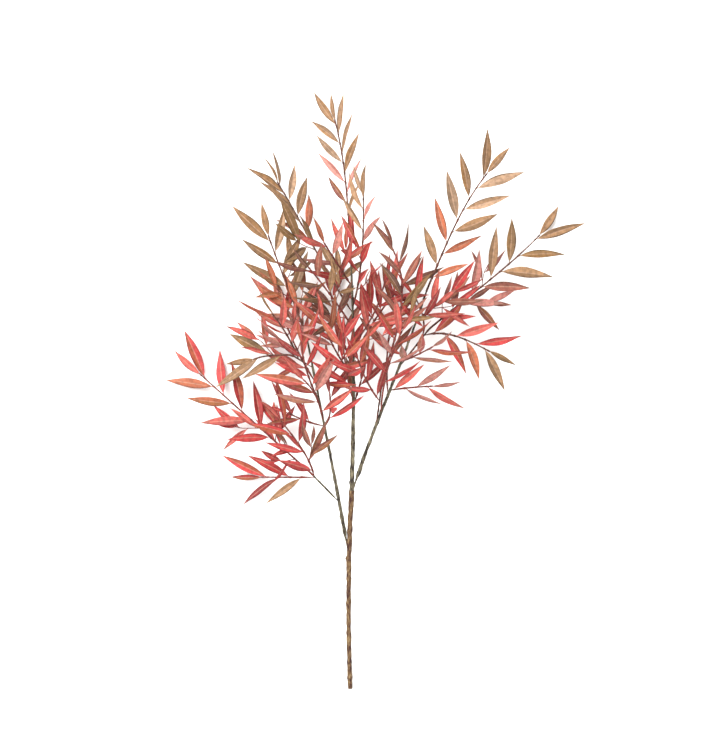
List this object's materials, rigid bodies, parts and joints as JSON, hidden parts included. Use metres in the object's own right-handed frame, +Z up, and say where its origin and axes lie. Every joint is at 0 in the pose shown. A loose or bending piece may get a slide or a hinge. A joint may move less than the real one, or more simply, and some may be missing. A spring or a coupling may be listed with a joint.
{
  "type": "artificial bog myrtle spray",
  "caption": "Artificial bog myrtle spray with a cut, forking brown stem and sprigs of lance-shaped leaves in red, coral, brown and tan, lying flat.",
  "frame": {"origin": "centre of the base of the part's box, on the surface it lies on", "axes": "+X across the spray, to the right in the picture; +Y from the cut end towards the top; +Z up from the surface it lies on"},
  "size_m": [0.6976, 1.0096, 0.1955],
  "materials": {
    "bark": "matte, bark relief",
    "leaf_red": "matte, printed cloth",
    "leaf_deep_red": "matte, printed cloth",
    "leaf_coral": "matte, printed cloth",
    "leaf_brown": "matte, printed cloth",
    "leaf_russet": "matte, printed cloth",
    "leaf_tan": "matte, printed cloth"
  },
  "bodies": {
    "root": {"stem": "bark", "bough_centre": "bark", "bough_left": "bark", "bough_right": "bark", "branch_low_left": "bark", "branch_mid_left": "bark", "branch_inner_right": "bark", "branch_outer_right": "bark", "sprig_far_left": "leaf_russet", "sprig_low_left": "leaf_deep_red", "sprig_low_left_up": "leaf_red", "sprig_left_low": "leaf_red", "sprig_left_slim": "leaf_coral", "sprig_mid_left_drooping": "leaf_tan", "sprig_mid_left": "leaf_coral", "sprig_left_tip": "leaf_tan", "sprig_upper_left": "leaf_tan", "sprig_inner_left": "leaf_brown", "sprig_inner_top": "leaf_coral", "sprig_top": "leaf_tan", "sprig_top_right": "leaf_coral", "sprig_inner_right": "leaf_brown", "sprig_centre_right": "leaf_red", "sprig_centre_right_outer": "leaf_coral", "sprig_right_tip": "leaf_tan", "sprig_far_right": "leaf_russet", "sprig_far_right_drooping": "leaf_russet", "sprig_mid_right": "leaf_red", "sprig_low_right": "leaf_red", "sprig_inner_low": "leaf_red", "sprig_left_inner_low": "leaf_red", "sprig_left_inner": "leaf_red", "sprig_centre_slim": "leaf_deep_red", "sprig_right_inner_up": "leaf_red", "sprig_right_mid": "leaf_red", "sprig_left_centre": "leaf_red", "sprig_centre_left": "leaf_coral", "sprig_left_back": "leaf_coral", "sprig_centre_back": "leaf_deep_red", "sprig_right_back": "leaf_deep_red", "sprig_centre_front": "leaf_red", "sprig_right_front": "leaf_red"}
  },
  "joints": []
}
